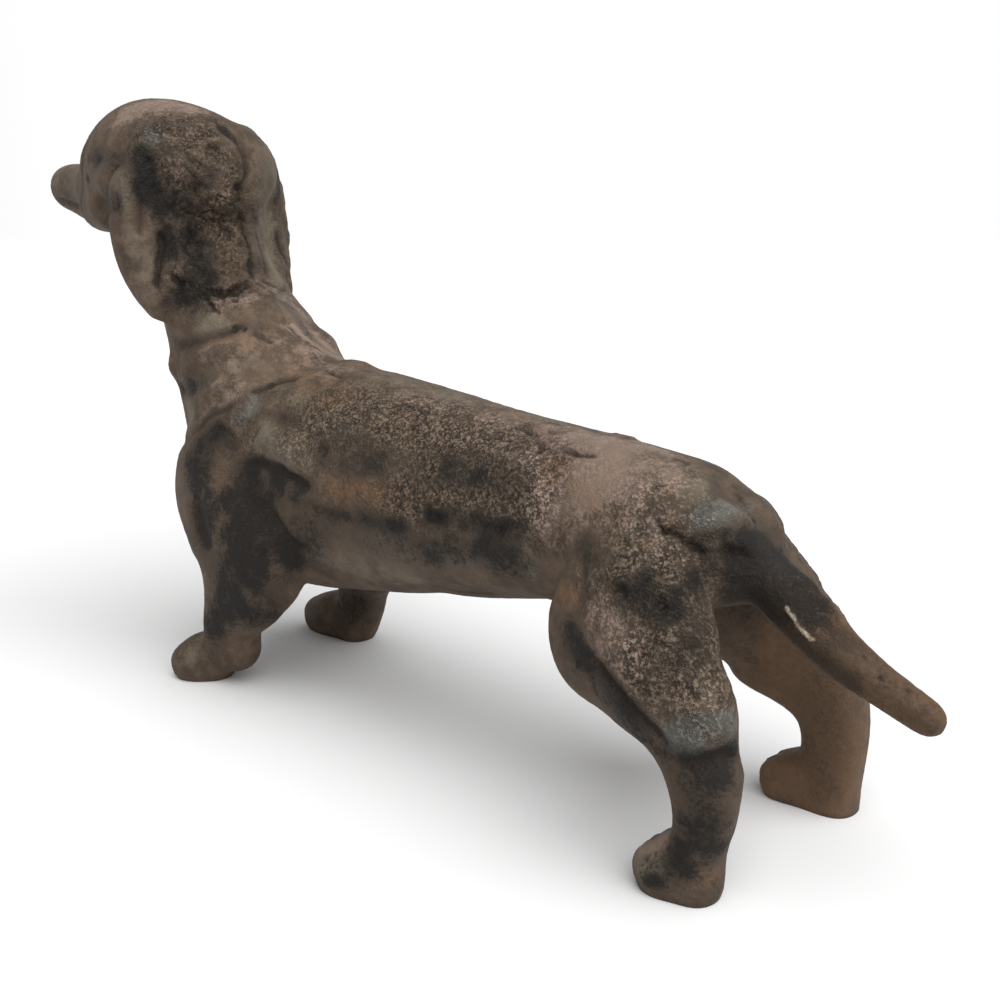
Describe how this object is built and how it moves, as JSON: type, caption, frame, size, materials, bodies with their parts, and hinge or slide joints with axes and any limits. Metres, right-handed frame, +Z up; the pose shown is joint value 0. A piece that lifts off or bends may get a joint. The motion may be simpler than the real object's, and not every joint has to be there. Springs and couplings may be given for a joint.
{
  "type": "cast iron dog statue",
  "caption": "Standing dachshund in worn cast iron, with long body, short legs, hanging ears and a tail that slopes down, one casting that rests on its paws.",
  "frame": {"origin": "at the level of the soles, under the middle of the length and the width", "axes": "+Z up, -X towards the nose, +X towards the tail, -Y the dog's left side"},
  "size_m": [0.2198, 0.0474, 0.1155],
  "materials": {
    "cast_iron": "bare sand-cast iron, worn matte brown with darker hollows and faint rust"
  },
  "bodies": {
    "root": {"dachshund": "cast_iron"}
  },
  "joints": []
}
